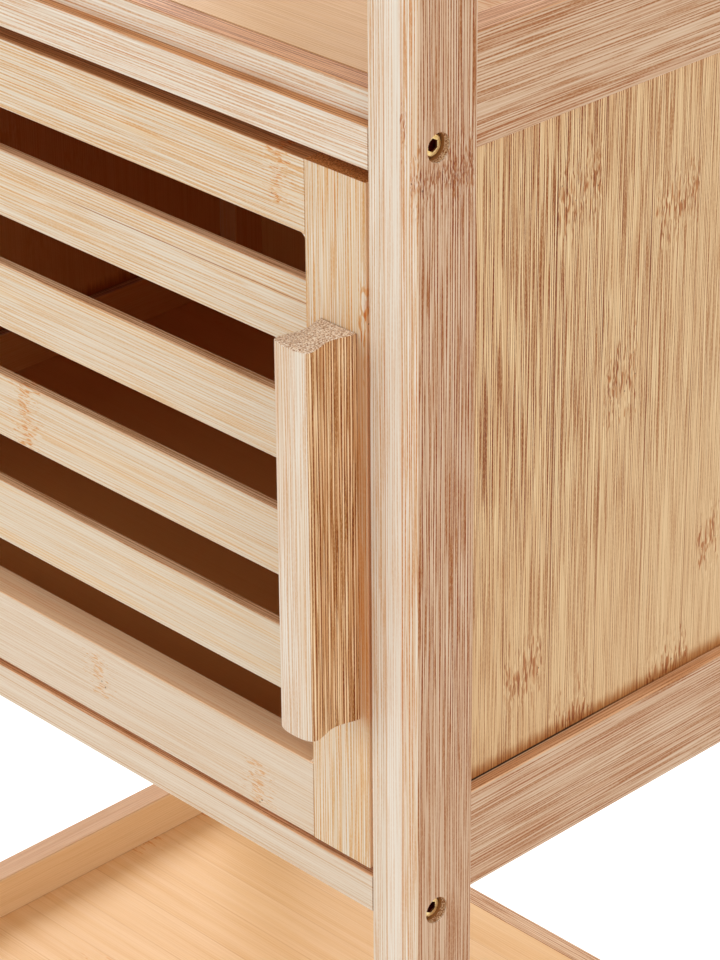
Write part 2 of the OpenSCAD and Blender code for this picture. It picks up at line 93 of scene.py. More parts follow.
# Darker and warmer as painted shade, for rails' flat faces seen in gaps and under boards
RAIL_FLAT_SHADE = tones((130, 72, 34), (200, 134, 80), (212, 148, 94), (234, 184, 134))
# Lightened and warmed as painted light for faces in shade: the posts beside the door and the
# door's bottom rail
GLOW = tones((224, 158, 108), (252, 198, 148), (254, 209, 162), (254, 222, 188))
SHELF = tones((200, 148, 98), (222, 174, 116), (230, 189, 138), (236, 200, 156))

# End grain, from its darkest to its palest tone
END = tones((148, 92, 52), (238, 208, 176), (255, 244, 228))
# The door stiles' end grain, darker and warmer: painted shade of the gaps above and below the door
END_SHADE = tones((150, 76, 28), (216, 140, 74), (232, 170, 108))

# Cane nodes
CREAM_MARK = linear(208, 136, 58)
SOFT_MARK = linear(212, 156, 96)
KNOT = linear(196, 124, 48)
SHELF_MARK = linear(202, 150, 98)
BROWN_MARK = linear(158, 92, 38)
DOT = linear(50, 28, 16)

# Single places
# The cabinet's inside: painted shade, paler low down as painted light bounced from the floor
INSIDE_SHADE, INSIDE_SHADE_LOW = tones((192, 88, 26), (228, 152, 74))
FAR_RAIL = linear(182, 140, 101)
# Painted shade deep in the bolt holes
BORE_SHADE = linear(176, 116, 64)
# Painted shade beside the handle, warm as from its bounced light
HANDLE_SHADE = linear(214, 160, 112)
GREY_LINE = linear(150, 128, 116)
# Painted shade at the panel's foot
FOOT_SHADE = linear(156, 92, 40)
# Painted shade in the bolts' hex sockets
HEX_SHADE = linear(104, 46, 34)
# Painted shadow line in the panel's groove
GROOVE_SHADE = linear(26, 14, 8)


# Material graphs


class Graph:
    """The nodes of a material or a world, added by short calls that return their outputs."""

    def __init__(self, owner):
        owner.use_nodes = True
        self.owner = owner
        self.tree = owner.node_tree
        self.tree.nodes.clear()

    def add(self, kind, inputs=(), **settings):
        node = self.tree.nodes.new("ShaderNode" + kind)
        for key, value in settings.items():
            setattr(node, key, value)
        for key, value in dict(inputs).items():
            if isinstance(value, bpy.types.NodeSocket):
                self.tree.links.new(value, node.inputs[key])
            else:
                node.inputs[key].default_value = value
        return node

    def math(self, operation, *values, clamp=False):
        node = self.add("Math", enumerate(values), operation=operation, use_clamp=clamp)
        return node.outputs[0]

    def chain(self, operation, first, *others):
        """One operation over all values, from the left."""
        for other in others:
            first = self.math(operation, first, other)
        return first

    def plus(self, *values):
        return self.chain("ADD", *values)

    def times(self, *values):
        return self.chain("MULTIPLY", *values)

    def most(self, *values):
        return self.chain("MAXIMUM", *values)

    def gap(self, first, second):
        """How far two values are apart."""
        return self.math("ABSOLUTE", self.math("SUBTRACT", first, second))

    def swing(self, value, amount):
        """Turns a value between 0 and 1 into one to both sides of 0, amount wide in all."""
        return self.times(self.math("SUBTRACT", value, 0.5), amount)

    def step(self, value, low, high):
        """0 at low, 1 at high and smooth between; low may be the larger."""
        node = self.add("MapRange", {"Value": value, "From Min": low, "From Max": high},
                        interpolation_type="SMOOTHSTEP")
        return node.outputs["Result"]

    def vector(self, operation, *values):
        return self.add("VectorMath", enumerate(values), operation=operation).outputs[0]

    def split(self, vector):
        return self.add("SeparateXYZ", {0: vector}).outputs

    def mix(self, factor, first, second, blend="MIX"):
        node = self.add("Mix", {0: factor, 6: first, 7: second}, data_type="RGBA",
                        blend_type=blend)
        return node.outputs[2]

    def stain(self, amount, colour, deep):
        """Deepens a colour by a tint, in even steps to the eye."""
        return self.mix(amount, self.mix(amount, colour, deep, "MULTIPLY"), deep, "MULTIPLY")

    def ramp(self, value, places, colours):
        node = self.add("ValToRGB", {0: value})
        elements = node.color_ramp.elements
        while len(elements) < len(places):
            elements.new(0.5)
        for element, place, colour in zip(elements, places, colours):
            element.position = place
            element.color = colour
        return node.outputs[0]


class Surface(Graph):
    """A material's nodes, which know their place in the model and the way of the grain."""

    def __init__(self, name, grain=Z):
        super().__init__(bpy.data.materials.new(name))
        self.grain = grain
        self.sides = [axis for axis in (X, Y, Z) if axis != grain]
        metres = self.add("TexCoord").outputs["Object"]
        self.place = self.vector("MULTIPLY", metres, (METRE,) * 3)
        self.axes = self.split(self.place)

    def random(self, value):
        """A number and a colour that belong to a value alone."""
        return self.add("TexWhiteNoise", {"W": value}, noise_dimensions="1D").outputs

    def facing(self):
        """How far the surface faces X, Y and Z, without sign."""
        normal = self.add("TexCoord").outputs["Normal"]
        return self.split(self.vector("ABSOLUTE", normal))

    def zone(self, *edges):
        """1 inside all edges, each an axis with the places where it is 0 and where it is 1."""
        return self.times(*(self.step(self.axes[axis], out, into) for axis, out, into in edges))

    def stretched(self, point, cell, stretch):
        """The point in cells of a size across the grain, stretch times longer along it."""
        scale = [1 / cell] * 3
        scale[self.grain] /= stretch
        return self.vector("MULTIPLY", point, scale)

    def clouds(self, point, cell, stretch=1.0, detail=2.0, rough=0.5):
        """A noise's value and colour."""
        point = self.stretched(point, cell, stretch)
        return self.add("TexNoise", {"Vector": point, "Scale": 1.0, "Detail": detail,
                                     "Roughness": rough}).outputs

    def noise(self, *settings):
        return self.clouds(*settings)[0]

    def cells(self, cell, stretch):
        """How far a point is from the middle of its own cell."""
        point = self.stretched(self.place, cell, stretch)
        return self.add("TexVoronoi", {"Vector": point, "Scale": 1.0}).outputs["Distance"]

    def wander(self, width, length, amount):
        """A slow sideways shift, which turns within a width and a length of the grain."""
        colour = self.clouds(self.place, width, length / width, 1.0)[1]
        size = self.add("CombineXYZ", {axis: amount for axis in (X, Y, Z)}).outputs[0]
        return self.vector("MULTIPLY", self.vector("SUBTRACT", colour, (0.5,) * 3), size)

    def bump(self, height, distance, strength):
        """A normal from a height; the distance is in metres."""
        node = self.add("Bump", {"Height": height, "Distance": distance, "Strength": strength})
        return node.outputs[0]

    def finish(self, **sockets):
        """A Principled shader with these sockets, and the material's output."""
        names = {name.replace("_", " "): value for name, value in sockets.items()}
        shader = self.add("BsdfPrincipled", names)
        self.add("OutputMaterial", {"Surface": shader.outputs[0]})
        return self.owner


def wear(node, material):
    """Gives a CAD node or a piece this one material."""
    mesh = node.data
    mesh.materials.clear()
    mesh.materials.append(material)


# Bamboo

UPRIGHT = (0.0, 0.0, 0.0)
SEED_STEP = 7.31
STRIP_SHIFT = (310.0, 290.0, 330.0)  # how far the grain of two strips may lie apart

# Cane nodes: how unevenly they end, how many times half their length they and the waves beside
# them reach, and the half length of those that planks puts on each strip
RAGGED = 26.0
MARK_REACH, WAVE_REACH = 1.6, 4.0
PLANK_HALF = 5.0


def cane_nodes(g, fibre, chance, marks, lean, planks, dash):
    """Masks of where the fibres break up, and of the wider places where they wave."""
    def fading(away, half):
        return g.step(away, MARK_REACH * half, 0.0), g.step(away, WAVE_REACH * half, half)

    ragged = g.swing(g.noise(fibre, 1.5, 400.0, 2.0, 0.7), RAGGED * dash)
    along = g.plus(g.axes[g.grain], ragged)
    masks = []
    for centre, half in marks:
        offset = g.vector("SUBTRACT", g.place, centre)
        near = g.split(g.vector("ABSOLUTE", g.vector("DIVIDE", offset, half)))
        inside = g.times(*(g.step(near[axis], 1.0, 0.9) for axis in g.sides))
        leaning = g.add("VectorMath", {0: offset, 1: lean}, operation="DOT_PRODUCT").outputs[1]
        away = g.gap(along, g.plus(leaning, centre[g.grain]))
        masks.append([g.times(inside, mask) for mask in fading(away, half[g.grain])])
    if planks:
        turn = g.math("FRACT", g.plus(g.math("DIVIDE", along, planks), g.times(chance, 3.0)))
        away = g.times(g.gap(turn, 0.5), planks)
        masks.append(fading(away, PLANK_HALF))
    return tuple(g.most(*kind) for kind in zip(*masks))


def fibre_lines(g, fibre, cell):
    """Masks of the fibres' dark and light lines, about cell mm apart."""
    uneven = g.times(g.noise(fibre, 3.0, 40.0, 1.0), 2.0)
    count = g.math("DIVIDE", g.plus(*(g.axes[axis] for axis in g.sides), uneven), cell)
    lot = g.random(g.math("FLOOR", count))[0]
    between = g.gap(g.math("FRACT", count), 0.5)
    patchy = g.noise(fibre, 0.9, 42.0, 2.0, 0.6)
    fine = g.noise(g.vector("ADD", fibre, (51.0, 17.0, 23.0)), 0.5, 80.0, 1.0)
    pale = g.noise(g.vector("ADD", fibre, (7.0, 71.0, 43.0)), 0.8, 36.0, 1.0)
    dark = g.times(g.step(between, 0.221, 0.085), g.step(lot, -0.1, 0.9),
                   g.step(patchy, 0.2, 0.52))
    dark = g.math("ADD", dark, g.times(g.step(fine, 0.5, 0.38), 0.7), clamp=True)
    light = g.times(g.step(between, 0.28, 0.44), g.step(patchy, 0.3, 0.58))
    light = g.math("ADD", light, g.times(g.step(pale, 0.54, 0.66), 0.5), clamp=True)
    return dark, light


def dashed(g, fibre, masks, dash, colour, light, deep):
    """The short dark and light dashes of the cane nodes, and a few dark dots."""
    mark, halo = masks
    nearer = g.times(g.math("SUBTRACT", mark, 1.0), 0.15)
    dashes = g.noise(g.vector("ADD", fibre, (3.0, 9.0, 27.0)), dash, 7.0, 1.0)
    dashes = g.step(g.plus(dashes, nearer), 0.48, 0.57)
    glints = g.noise(g.vector("ADD", fibre, (63.0, 29.0, 7.0)), 0.9 * dash, 6.0, 1.0)
    glints = g.step(g.plus(glints, nearer), 0.52, 0.6)
    some = g.step(halo, 0.0, 0.6)
    colour = g.stain(g.times(mark, 0.12), colour, deep)
    colour = g.mix(g.times(some, glints, 0.5), colour, light)
    colour = g.stain(g.times(some, dashes, 0.65), colour, deep)
    dot = g.times(g.step(g.cells(3.0, 1.2), 0.13, 0.08), g.step(mark, 0.3, 0.7))
    return g.mix(g.times(dot, 0.7), colour, DOT)


def end_grain(g, ends):
    """Bundles of fibres cut across."""
    cut = g.ramp(g.noise(g.place, 0.6, 30.0, 2.0, 0.7), (0.3, 0.5, 0.6), ends)
    bundles = g.step(g.cells(0.8, 20.0), 0.42, 0.3)
    return g.mix(g.times(bundles, 0.55), cut, ends[0])


def bamboo(name, grain, stack, faces, *, pitch, seed, lines, origin=0.0, spread=0.0, cell=1.15,
           patches=1.0, greys=0.0, marks=(), lean=UPRIGHT, planks=None, mark_tone=BROWN_MARK,
           dash=1.0, strips=(), fades=(), ends=None, extra=None, rough=0.42):
    """Laminated bamboo.

    The fibres run along the axis grain. The strips lie side by side along the axis stack, pitch
    wide from origin, and spread is how much their tones differ. faces gives the tones of the
    faces that show the strips' edges, then of those that show one strip's flat, and lines how
    strongly the fibres show on each. cell is the distance of the fibre lines, patches how
    strongly broad patches of tone show, and greys how grey some lines are.

    marks are cane nodes, each a centre and half sizes, and lean tilts them; planks puts one on
    each strip every so many mm. They have the tone mark_tone, and dash is how coarse their
    dashes are. Each of strips is a strip's number, how much lighter it is and how much stronger
    its lines are. Each of fades is an axis, the two places between which the lines weaken, and
    the share that is left of them. ends gives the tones of the end grain, and extra is a
    function that has the last word on the colour.
    """
    g = Surface(name, grain)
    across = g.math("DIVIDE", g.math("SUBTRACT", g.axes[stack], origin), pitch)
    strip = g.math("FLOOR", across)
    chance, shift = g.random(g.plus(strip, seed * SEED_STEP + 0.5))
    fibre = g.vector("ADD", g.place, g.vector("MULTIPLY", shift, STRIP_SHIFT))

    # Fibres wander a little everywhere, and more beside a cane node
    has_nodes = bool(marks or planks)
    if has_nodes:
        masks = cane_nodes(g, fibre, chance, marks, lean, planks, dash)
    fibre = g.vector("ADD", fibre, g.wander(8.0, 140.0, 0.9))
    if has_nodes:
        fibre = g.vector("ADD", fibre, g.wander(3.2, 9.0, g.times(masks[1], 1.8)))

    # Tones of the two kinds of face, where there are two
    facing = g.facing()
    flat = g.step(facing[stack], 0.6, 0.8)
    faces = [(*face[WARM:], tint(face[DARK], face[GROUND])) for face in faces]
    warm, ground, light, dark = (kinds[0] if len(kinds) == 1 else g.mix(flat, *kinds)
                                 for kinds in zip(*faces))

    # Broad patches of tone, and how strongly the lines show
    broad = g.noise(g.vector("ADD", fibre, (31.0, 13.0, 57.0)), 4.6, 26.0, 2.0)
    tone = g.plus(g.swing(broad, 1.6 * patches), g.swing(chance, spread))
    strength = g.plus(g.times(flat, lines[1] - lines[0]), lines[0])
    for number, change, more in strips:
        this = g.times(g.math("COMPARE", strip, number, 0.1), g.step(flat, 0.6, 0.4))
        tone = g.plus(tone, g.times(this, change))
        strength = g.plus(strength, g.times(this, more))
    for axis, near, far, share in fades:
        weaker = g.times(g.step(g.axes[axis], near, far), 1.0 - share)
        strength = g.times(strength, g.math("SUBTRACT", 1.0, weaker))
    colour = g.mix(g.math("MULTIPLY", tone, 1.0, clamp=True), ground, light)
    colour = g.mix(g.math("MULTIPLY", tone, -1.6, clamp=True), colour, warm)

    # Light lines, dark lines with fine grit, grey lines and the seams between strips
    darks, lights = (g.math("MULTIPLY", mask, strength, clamp=True)
                     for mask in fibre_lines(g, fibre, cell))
    grit = g.step(g.noise(g.place, 0.4, 3.0, 1.0), 0.3, 0.6)
    darks = g.times(darks, g.plus(g.times(grit, 0.4), 0.6))
    colour = g.mix(lights, colour, light)
    colour = g.stain(darks, colour, dark)
    if greys:
        grey = g.noise(g.vector("ADD", fibre, (11.0, 5.0, 83.0)), 0.9, 40.0, 1.0)
        colour = g.mix(g.times(g.step(grey, 0.6, 0.7), greys), colour, GREY_LINE)
    edge = g.gap(g.math("FRACT", across), 0.5)
    seam = g.times(g.step(edge, 0.5 - 0.3 / pitch, 0.5 - 0.1 / pitch), g.step(flat, 0.5, 0.0))
    colour = g.stain(g.times(seam, 0.5), colour, dark)

    if has_nodes:
        deep = tint(mark_tone, CREAM[GROUND])
        colour = dashed(g, fibre, masks, dash, colour, light, deep)
    if ends:
        colour = g.mix(g.step(facing[grain], 0.6, 0.8), colour, end_grain(g, ends))
    if extra:
        colour = extra(g, colour)
    gloss = g.plus(g.times(darks, 0.12), rough)
    height = g.math("SUBTRACT", g.times(lights, 0.3), darks)
    return g.finish(Base_Color=colour, Roughness=gloss, IOR=1.5, Specular_IOR_Level=0.2,
                    Normal=g.bump(height, 0.00003, 0.6))


def clad(name, *layout, **look):
    """Gives a wooden node a bamboo of its own; layout and look are what bamboo takes."""
    wear(nodes[name], bamboo(name, *layout, **look))


def strips_across(name, count, margin):
    """The pitch and origin of strips along X that end a margin past a node's faces."""
    low, high = (corner.x for corner in corners(name))
    return {"pitch": (high - low + 2 * margin) / count, "origin": low - margin}


# The cabinet's inside, in painted shade

panel_inner, panel_outer = (corner.x for corner in corners("side_panel_right"))
panel_middle = (panel_inner + panel_outer) / 2
whole_width = 2 * panel_outer
inside_low, inside_high = corners("cabinet_floor")[1].z, corners("cabinet_top")[0].z

# The painted shade starts just behind the boards' front edges and ends inside the back panel. It
# turns paler between two heights, as painted light bounced up from the floor
inside_front, inside_back = corners("cabinet_floor")[0].y + 0.75, corners("back_panel")[0].y + 0.5
SHADE_HIGH, SHADE_LOW = 510.0, 350.0
SHADE_SHARE = 0.86


def painted_inside_shade(reach):
    """What paints the cabinet's inner faces, nearer to its middle than reach, a warm painted
    shade.
    """
    def paint(g, colour):
        near = g.step(g.math("ABSOLUTE", g.axes[X]), reach, reach - 0.5)
        inside = g.zone((Y, inside_front, inside_front + 2.0), (Y, inside_back + 1.0, inside_back),
                        (Z, inside_low - 1.0, inside_low), (Z, inside_high + 1.0, inside_high))
        brown = g.mix(g.step(g.axes[Z], SHADE_HIGH, SHADE_LOW), INSIDE_SHADE, INSIDE_SHADE_LOW)
        return g.mix(g.times(near, inside, SHADE_SHARE), colour, brown)
    return paint


# Posts

post_low, post_high = corners("post_front_right")
door_low, door_high = corners("door_handle_stile")
bolts_low, bolts_high = corners("frame_bolts")
HEAD_RADIUS, BORE_RADIUS = 4.0, 5.0
bolt_rows = (bolts_low.y + HEAD_RADIUS, bolts_high.y - HEAD_RADIUS)


def bores_shade_and_light(g, colour):
    """The bolt holes' rough walls with painted shade deep in them, and warm painted light on the
    posts' faces beside the door.
    """
    x = g.math("ABSOLUTE", g.axes[X])
    side, inner = post_high.x, post_low.x
    row = g.math("MINIMUM", *(g.gap(g.axes[Y], y) for y in bolt_rows))
    wall = g.times(g.step(x, side - 0.3, side - 0.5), g.step(x, inner + 1.0, inner + 2.0),
                   g.step(row, BORE_RADIUS + 1.2, BORE_RADIUS + 0.7),
                   g.zone((Z, post_low.z + 1.0, post_low.z + 2.0),
                          (Z, post_high.z - 1.0, post_high.z - 2.0)))
    rough = g.ramp(g.noise(g.place, 0.5, 1.0, 2.0), (0.4, 0.6), (BROWN_MARK, PALE[WARM]))
    # Painted shade deep in the bore, from about 2.3 mm in from the post's side
    rough = g.mix(g.step(x, side - 2.3, side - 2.6), rough, BORE_SHADE)
    colour = painted_inside_shade(panel_inner + 0.2)(g, g.mix(wall, colour, rough))
    # Painted light: the posts' inner faces beside the door are lightened and warmed against their
    # shade in the gap
    beside = g.times(g.step(x, inner + 0.4, inner + 0.1),
                     g.zone((Y, post_high.y + 1.0, post_high.y - 1.0),
                            (Z, door_low.z - 1.0, door_low.z),
                            (Z, door_high.z + 1.3, door_high.z + 0.3)))
    return g.mix(beside, colour, GLOW[GROUND])


# Each post's seed and its cane nodes
POSTS = {
    "post_front_left": (2.0, [((-201.3, -127.0, 380.0), (3.9, 13.0, 6.0)),
                              ((-187.0, -127.0, 660.0), (3.7, 13.0, 6.0))]),
    "post_front_right": (4.0, [((203.4, -127.0, 586.0), (1.9, 13.0, 4.0)),
                               ((198.6, -139.0, 603.4), (1.5, 2.0, 5.0)),
                               ((187.0, -127.0, 820.0), (3.7, 13.0, 6.0)),
                               ((201.3, -127.0, 272.0), (3.9, 13.0, 6.0))]),
    "post_back_left": (7.0, [((-201.3, 148.0, 430.0), (3.9, 14.0, 6.0)),
                             ((-194.0, 148.0, 760.0), (3.7, 14.0, 6.0))]),
    "post_back_right": (9.0, [((201.3, 148.0, 430.0), (3.9, 14.0, 6.0)),
                              ((194.0, 148.0, 760.0), (3.7, 14.0, 6.0))]),
}

# The post in the photograph: its three strips differ, and their lines weaken further down
PHOTO_POST = {"strips": ((0, -0.1, 0.05), (1, 0.5, -0.25), (2, -0.4, 0.4)),
              "fades": ((Z, 420.0, 340.0, 0.7),)}
for name, (seed, marks) in POSTS.items():
    own = PHOTO_POST if name == "post_front_right" else {"spread": 0.4}
    clad(name, Z, X, (CREAM, ROSE), **strips_across(name, 3, 0.1), seed=seed, lines=(0.75, 1.0),
         cell=1.1, patches=0.5, marks=marks, dash=0.4, ends=END, extra=bores_shade_and_light, **own)


# Boards and rails

rail_inner = corners("side_rail_right_2")[0].x
far_rail_low, far_rail_high = corners("side_rail_left_1")


def far_rail(g, colour):
    """The lower left rail's top and inner face, calm because they lie out of focus."""
    top = g.zone((Z, far_rail_high.z - 0.4, far_rail_high.z - 0.1))
    seen = g.zone((X, far_rail_low.x + 0.1, far_rail_low.x + 0.4))
    return g.mix(g.times(seen, 0.8), colour, g.mix(top, SHELF[GROUND], FAR_RAIL))


# The cabinet's floor and top get its painted inside shade
for number, name in enumerate(("bottom_shelf", "cabinet_floor", "cabinet_top", "top_shelf")):
    calm = 0.25 if name == "bottom_shelf" else 0.5
    clad(name, X, Y, (SHELF,), pitch=21.0, seed=40.0 + number, spread=0.3, lines=(calm, calm),
         planks=290.0, mark_tone=SHELF_MARK,
         extra=painted_inside_shade(whole_width) if "cabinet" in name else None)

# The rails below and above the door: flat faces lightened as painted light below, painted shade
# above
RAIL_FACES = {2: (CREAM_LOW, LEDGE), 3: (CREAM, RAIL_FLAT_SHADE)}
for level in (1, 2, 3, 4):
    for side, seed_shift in (("left", 4), ("right", 0)):
        name = f"side_rail_{side}_{level}"
        # The middle levels' rails get the cabinet's painted inside shade on their inner faces
        inside = painted_inside_shade(rail_inner + 0.7) if level in (2, 3) else None
        # The side rails' top and bottom faces are lightened as painted light against their shade
        clad(name, Y, X, (LEDGE, ROSE), **strips_across(name, 2, 0.05),
             seed=20.0 + level + seed_shift, spread=0.2, lines=(0.8, 0.65),
             extra=far_rail if name == "side_rail_left_1" else inside)
    for end, seed_shift in (("front", 0), ("back", 4)):
        clad(f"{end}_rail_{level}", X, Z, RAIL_FACES.get(level, (CREAM, TAN)), pitch=8.0,
             seed=30.0 + level + seed_shift, spread=0.3, lines=(0.35 if level == 2 else 0.7, 0.8))


# Panels

panel_foot = corners("side_rail_right_2")[1].z


def panel_foot_shade(g, colour):
    """The panel's lower edge: a warm painted shade, and the painted shadow line of its groove."""
    colour = painted_inside_shade(panel_middle + 0.2)(g, colour)
    rise = g.math("SUBTRACT", g.axes[Z], panel_foot)
    uneven = g.times(g.noise(g.place, 1.6, 6.0, 1.0), 5.0)
    # Painted shade: a warm darkening over the panel's lowest few mm, with an uneven top
    foot_shade_mask = g.step(g.math("SUBTRACT", rise, uneven), 4.5, -2.0)
    colour = g.stain(g.times(foot_shade_mask, 0.8), colour, tint(FOOT_SHADE, HONEY[GROUND]))
    # The groove's painted shadow line is darker towards the front
    deep = g.plus(g.times(g.step(g.axes[Y], 10.0, -75.0), 0.7), 0.25)
    return g.mix(g.times(g.step(rise, 0.95, 0.55), deep), colour, GROOVE_SHADE)


# Each cane node's places along Y and Z, and half its width
PANEL_MARKS = [(-57.5, 557.3, 11.0), (-9.0, 538.0, 11.5), (-35.0, 481.0, 9.0),
               (-81.0, 386.0, 10.0), (16.0, 403.0, 9.0), (-56.0, 357.5, 12.0),
               (-6.0, 358.0, 12.0), (60.0, 430.0, 11.0), (85.0, 560.0, 11.0),
               (106.0, 470.0, 10.0), (38.0, 520.0, 11.0)]
PANEL = {"pitch": 23.0, "spread": 0.3, "greys": 0.1}
PLAIN = {"lines": (0.6, 0.6), "patches": 0.3, "planks": 270.0}
clad("side_panel_right", Z, Y, (HONEY,), **PANEL, origin=-91.0, seed=51.0, lines=(1.05, 1.05),
     cell=0.85, patches=0.15, fades=((Y, -95.0, 30.0, 0.55), (Z, 480.0, 390.0, 0.55)),
     marks=[((panel_middle, y, z), (6.0, half, 5.0)) for y, z, half in PANEL_MARKS],
     lean=(0.0, 0.25, 0.0), extra=panel_foot_shade)
clad("side_panel_left", Z, Y, (HONEY,), **PANEL, **PLAIN, origin=-91.0, seed=52.0, extra=panel_foot_shade)
# The back panel gets the cabinet's painted inside shade
clad("back_panel", Z, X, (HONEY,), **PANEL, **PLAIN, seed=53.0, extra=painted_inside_shade(whole_width))


# Door

handle_low, handle_high = corners("door_handle")
door_middle = (door_low.y + door_high.y) / 2
EYE_PLACE = (180.0, door_low.y, 538.4)
EYE_SIZE = (1.5, 1e4, 4.4)  # endless along Y
SPLIT_HEIGHT = 526.3
SPLIT_FROM, SPLIT_TO = 18.0, 45.0  # where along X the line begins and is full


def stile_eye_and_shade(g, colour):
    """An eye in the handle stile's fibres, and painted shade close beside the handle, warm as from
    its bounce.
    """
    offset = g.vector("DIVIDE", g.vector("SUBTRACT", g.place, EYE_PLACE), EYE_SIZE)
    far = g.add("VectorMath", {0: offset}, operation="LENGTH").outputs[1]
    far = g.plus(far, g.times(g.noise(g.place, 0.7, 4.0, 1.0), 0.5))
    colour = g.mix(g.times(g.step(far, 1.2, 0.9), 0.5), colour, CREAM_WARM[LIGHT])
    ring = g.step(g.gap(far, 1.25), 0.3, 0.1)
    colour = g.stain(g.times(ring, 0.45), colour, tint(KNOT, CREAM_WARM[GROUND]))
    low, high, side = handle_low.z, handle_high.z, handle_high.x
    # Painted shade on the stile beside the handle's side, warm as from its bounced light
    warm = g.zone((X, side - 4.7, side - 0.7), (Z, low - 4.0, low + 4.0),
                  (Z, high + 2.0, high - 10.0))
    return g.stain(g.times(warm, 0.55), colour, tint(HANDLE_SHADE, CREAM_WARM[GROUND]))


def split_line(g, colour):
    """A thin dark line along the top slat."""
    height = g.plus(g.axes[Z], g.times(g.noise(g.place, 30.0, 1.0, 1.0), 0.3))
    line = g.times(g.step(g.gap(height, SPLIT_HEIGHT), 0.28, 0.1),
                   g.zone((X, SPLIT_FROM, SPLIT_TO)))
    return g.mix(g.times(line, 0.85), colour, BROWN_MARK)


STILES = {"door_hinge_stile": {"seed": 61.0},
          "door_handle_stile": {"seed": 62.0, "extra": stile_eye_and_shade,
                                "marks": [((179.6, door_low.y, 529.5), (2.3, 3.0, 6.0))]}}
for name, own in STILES.items():
    # The stiles' end grain takes painted shade
    clad(name, Z, X, (CREAM_WARM, PALE), **strips_across(name, 2, 0.05), spread=0.3,
         lines=(0.95, 0.5), mark_tone=KNOT, ends=END_SHADE, **own)

# The door's top rail: its flat faces take painted shade
clad("door_top_rail", X, Z, (CREAM_WARM, RAIL_FLAT_SHADE), pitch=40.0, origin=540.0, seed=63.0,
     lines=(0.8, 0.8), marks=[((141.0, door_middle, 571.0), (2.6, 8.0, 11.0))],
     mark_tone=CREAM_MARK, dash=0.5)
# The bottom rail's flat faces are lightened as painted light against the shade under the slats and
# in the gap
clad("door_bottom_rail", X, Z, (CREAM_LOW, GLOW), pitch=40.0, origin=326.0, seed=64.0,
     lines=(0.35, 0.4), mark_tone=SOFT_MARK, dash=0.5,
     marks=[((41.0, door_middle, 344.0), (3.0, 8.0, 9.0)),
            ((125.0, door_middle, 334.0), (3.0, 8.0, 11.0))])

SLAT_MARKS = {1: [((-96.0, -131.0, 521.0), (3.5, 4.0, 14.0))],
              3: [((1.0, -131.0, 432.0), (3.5, 4.0, 14.0))]}
SLAT_APART = 1000.0  # between the origins, so that each slat has strips and seams of its own
for number in (1, 2, 3, 4):
    # The slats' flat faces are lightened as painted light against their shade
    clad(f"door_slat_{number}", X, Z, (CREAM_WARM, LEDGE_PALE), pitch=60.0,
         origin=370.0 + SLAT_APART * number, seed=70.0 + number, lines=(0.75 - 0.1 * number, 0.8),
         marks=SLAT_MARKS.get(number, ()), mark_tone=CREAM_MARK, dash=0.6,
         extra=split_line if number == 1 else None)
clad("alignment_dowels", X, Z, (CREAM_WARM,), pitch=100.0, seed=90.0, lines=(0.3, 0.3), ends=END)


# Handle: the bar's outline swept smoothly, with eased ends

handle_x, handle_face = (handle_low.x + handle_high.x) / 2, handle_high.y
HANDLE_SWING, HANDLE_NOSE, NOSE_POWER = 1.0, 3.5, 2.4
handle_half = (handle_high.x - handle_low.x) / 2 - HANDLE_SWING
handle_side = handle_high.y - handle_low.y - HANDLE_NOSE
SIDE_STEPS, NOSE_STEPS = 60, 28
EASE, EASE_MIDDLE = 0.4, 0.12
SHARP = math.radians(50)


def handle_outline():
    """Half of the outline as (half width, distance from the door), from the door outwards."""
    points = []
    for i in range(SIDE_STEPS):
        out = handle_side * i / SIDE_STEPS
        points.append((handle_half + HANDLE_SWING * math.cos(math.tau * out / handle_side), out))
    for i in range(NOSE_STEPS):
        turn = math.pi / 2 * i / NOSE_STEPS
        points.append(((handle_half + HANDLE_SWING) * math.cos(turn) ** (2 / NOSE_POWER),
                       handle_side + HANDLE_NOSE * math.sin(turn) ** (2 / NOSE_POWER)))
    return points + [(0.0, handle_side + HANDLE_NOSE)]


def ways_inward(outline):
    """At each point of a closed outline, the direction square to it that leads inside."""
    ways = []
    for i in range(len(outline)):
        before, after = outline[i - 1], outline[(i + 1) % len(outline)]
        tangent = Vector((after[0] - before[0], after[1] - before[1])).normalized()
        ways.append(Vector((-tangent.y, tangent.x)))
    return ways


def make_handle():
    half = handle_outline()
    outline = half + [(-x, out) for x, out in reversed(half[:-1])]
    eased = [(0.0, EASE), (EASE_MIDDLE, EASE_MIDDLE), (EASE, 0.0)]
    rings = [(handle_low.z + rise, inset) for rise, inset in eased]
    rings += [(handle_high.z - rise, inset) for rise, inset in reversed(eased)]
    ways = ways_inward(outline)
    places, faces = [], []
    for z, inset in rings:
        for (x, out), way in zip(outline, ways):
            out_in = max(out + way.y * inset, 0.0)
            places.append((handle_x + x + way.x * inset, handle_face - out_in, z))
    count = len(outline)
    for ring in range(len(rings) - 1):
        one, two = ring * count, (ring + 1) * count
        for i in range(count):
            j = (i + 1) % count
            faces.append((one + i, one + j, two + j, two + i))
    faces.append(tuple(reversed(range(count))))
    faces.append(tuple(range((len(rings) - 1) * count, len(rings) * count)))
    mesh = bpy.data.meshes.new("handle_bar")
    mesh.from_pydata([[c / METRE for c in place] for place in places], [], faces)
    mesh.update()
    mesh.shade_smooth()
    mesh.set_sharp_from_angle(angle=SHARP)
    bar = bpy.data.objects.new("handle_bar", mesh)
    scene.collection.objects.link(bar)
    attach(bar, "door")
    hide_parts("door_handle")
    return bar


wear(make_handle(), bamboo("handle_bar", Z, X, (CREAM, AMBER), pitch=60.0, origin=150.0,
                           seed=81.0, lines=(0.6, 1.0), ends=END, rough=0.38))


# Metal and plastic


